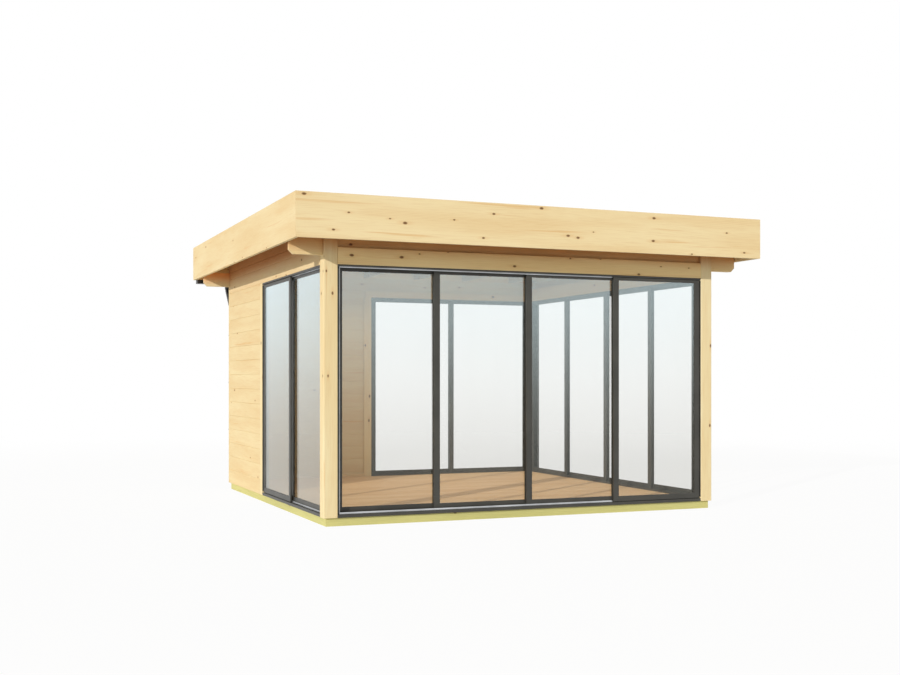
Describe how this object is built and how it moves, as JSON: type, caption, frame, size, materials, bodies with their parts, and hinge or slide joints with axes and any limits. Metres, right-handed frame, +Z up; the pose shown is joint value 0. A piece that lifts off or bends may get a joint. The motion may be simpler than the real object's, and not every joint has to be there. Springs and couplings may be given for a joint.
{
  "type": "log cabin with sliding glass walls",
  "caption": "Flat-roofed spruce log cabin with a deep fascia, corner posts and sliding glass walls, a log-built rear corner, a boarded floor and a rear gutter.",
  "frame": {"origin": "on the ground under the middle of the roof's plan", "axes": "+X to the right seen from the glass front, +Y from the front to the rear, +Z up"},
  "size_m": [4.094, 4.075, 2.491],
  "materials": {
    "spruce": "planed, bare",
    "fascia_timber": "planed, bare",
    "floor_boards": "planed",
    "treated_timber": "pressure treated",
    "frame_aluminium": "anthracite powder coat",
    "glass": "clear",
    "roofing_felt": "matt",
    "rainwater_plastic": "satin"
  },
  "bodies": {
    "cabin": {"downpipe": "rainwater_plastic", "eave_board": "fascia_timber", "fixed_leaf_frames": "frame_aluminium", "fixed_leaf_glass": "glass", "floor": "floor_boards", "foundation_beams": "treated_timber", "front_fascia": "fascia_timber", "front_left_post": "spruce", "front_lintel": "spruce", "front_right_post": "spruce", "front_top_log": "spruce", "front_track_frame": "frame_aluminium", "gutter": "rainwater_plastic", "left_jamb_post": "spruce", "left_lintel": "spruce", "left_track_frame": "frame_aluminium", "left_wall_logs": "spruce", "rear_jamb_post": "spruce", "rear_lintel": "spruce", "rear_right_post": "spruce", "rear_top_log": "spruce", "rear_track_frame": "frame_aluminium", "rear_wall_logs": "spruce", "right_lintel": "spruce", "right_track_frame": "frame_aluminium", "roof_deck": "spruce", "roof_joists": "spruce", "roof_membrane": "roofing_felt", "side_fascias": "fascia_timber", "side_top_logs": "spruce"},
    "front_leaf_1": {"front_leaf_1_frame": "frame_aluminium", "front_leaf_1_glass": "glass"},
    "front_leaf_2": {"front_leaf_2_frame": "frame_aluminium", "front_leaf_2_glass": "glass"},
    "front_leaf_3": {"front_leaf_3_frame": "frame_aluminium", "front_leaf_3_glass": "glass"},
    "left_leaf_2": {"left_leaf_2_frame": "frame_aluminium", "left_leaf_2_glass": "glass"},
    "rear_leaf_1": {"rear_leaf_1_frame": "frame_aluminium", "rear_leaf_1_glass": "glass"},
    "right_leaf_2": {"right_leaf_2_frame": "frame_aluminium", "right_leaf_2_glass": "glass"},
    "right_leaf_3": {"right_leaf_3_frame": "frame_aluminium", "right_leaf_3_glass": "glass"},
    "right_leaf_4": {"right_leaf_4_frame": "frame_aluminium", "right_leaf_4_glass": "glass"}
  },
  "joints": [
    {"name": "front_leaf_1_slide", "type": "slide", "parent": "cabin", "child": "front_leaf_1", "axis": [1, 0, 0], "range_m": [0, 2.40555]},
    {"name": "front_leaf_2_slide", "type": "slide", "parent": "cabin", "child": "front_leaf_2", "axis": [1, 0, 0], "range_m": [-0.80185, 1.6037]},
    {"name": "front_leaf_3_slide", "type": "slide", "parent": "cabin", "child": "front_leaf_3", "axis": [1, 0, 0], "range_m": [-1.6037, 0.80185]},
    {"name": "right_leaf_2_slide", "type": "slide", "parent": "cabin", "child": "right_leaf_2", "axis": [0, 1, 0], "range_m": [-0.78435, 1.5687]},
    {"name": "right_leaf_3_slide", "type": "slide", "parent": "cabin", "child": "right_leaf_3", "axis": [0, 1, 0], "range_m": [-1.5687, 0.78435]},
    {"name": "right_leaf_4_slide", "type": "slide", "parent": "cabin", "child": "right_leaf_4", "axis": [0, 1, 0], "range_m": [-2.35305, 0]},
    {"name": "left_leaf_2_slide", "type": "slide", "parent": "cabin", "child": "left_leaf_2", "axis": [0, 1, 0], "range_m": [0, 0.8987]},
    {"name": "rear_leaf_1_slide", "type": "slide", "parent": "cabin", "child": "rear_leaf_1", "axis": [-1, 0, 0], "range_m": [0, 0.8987]}
  ]
}
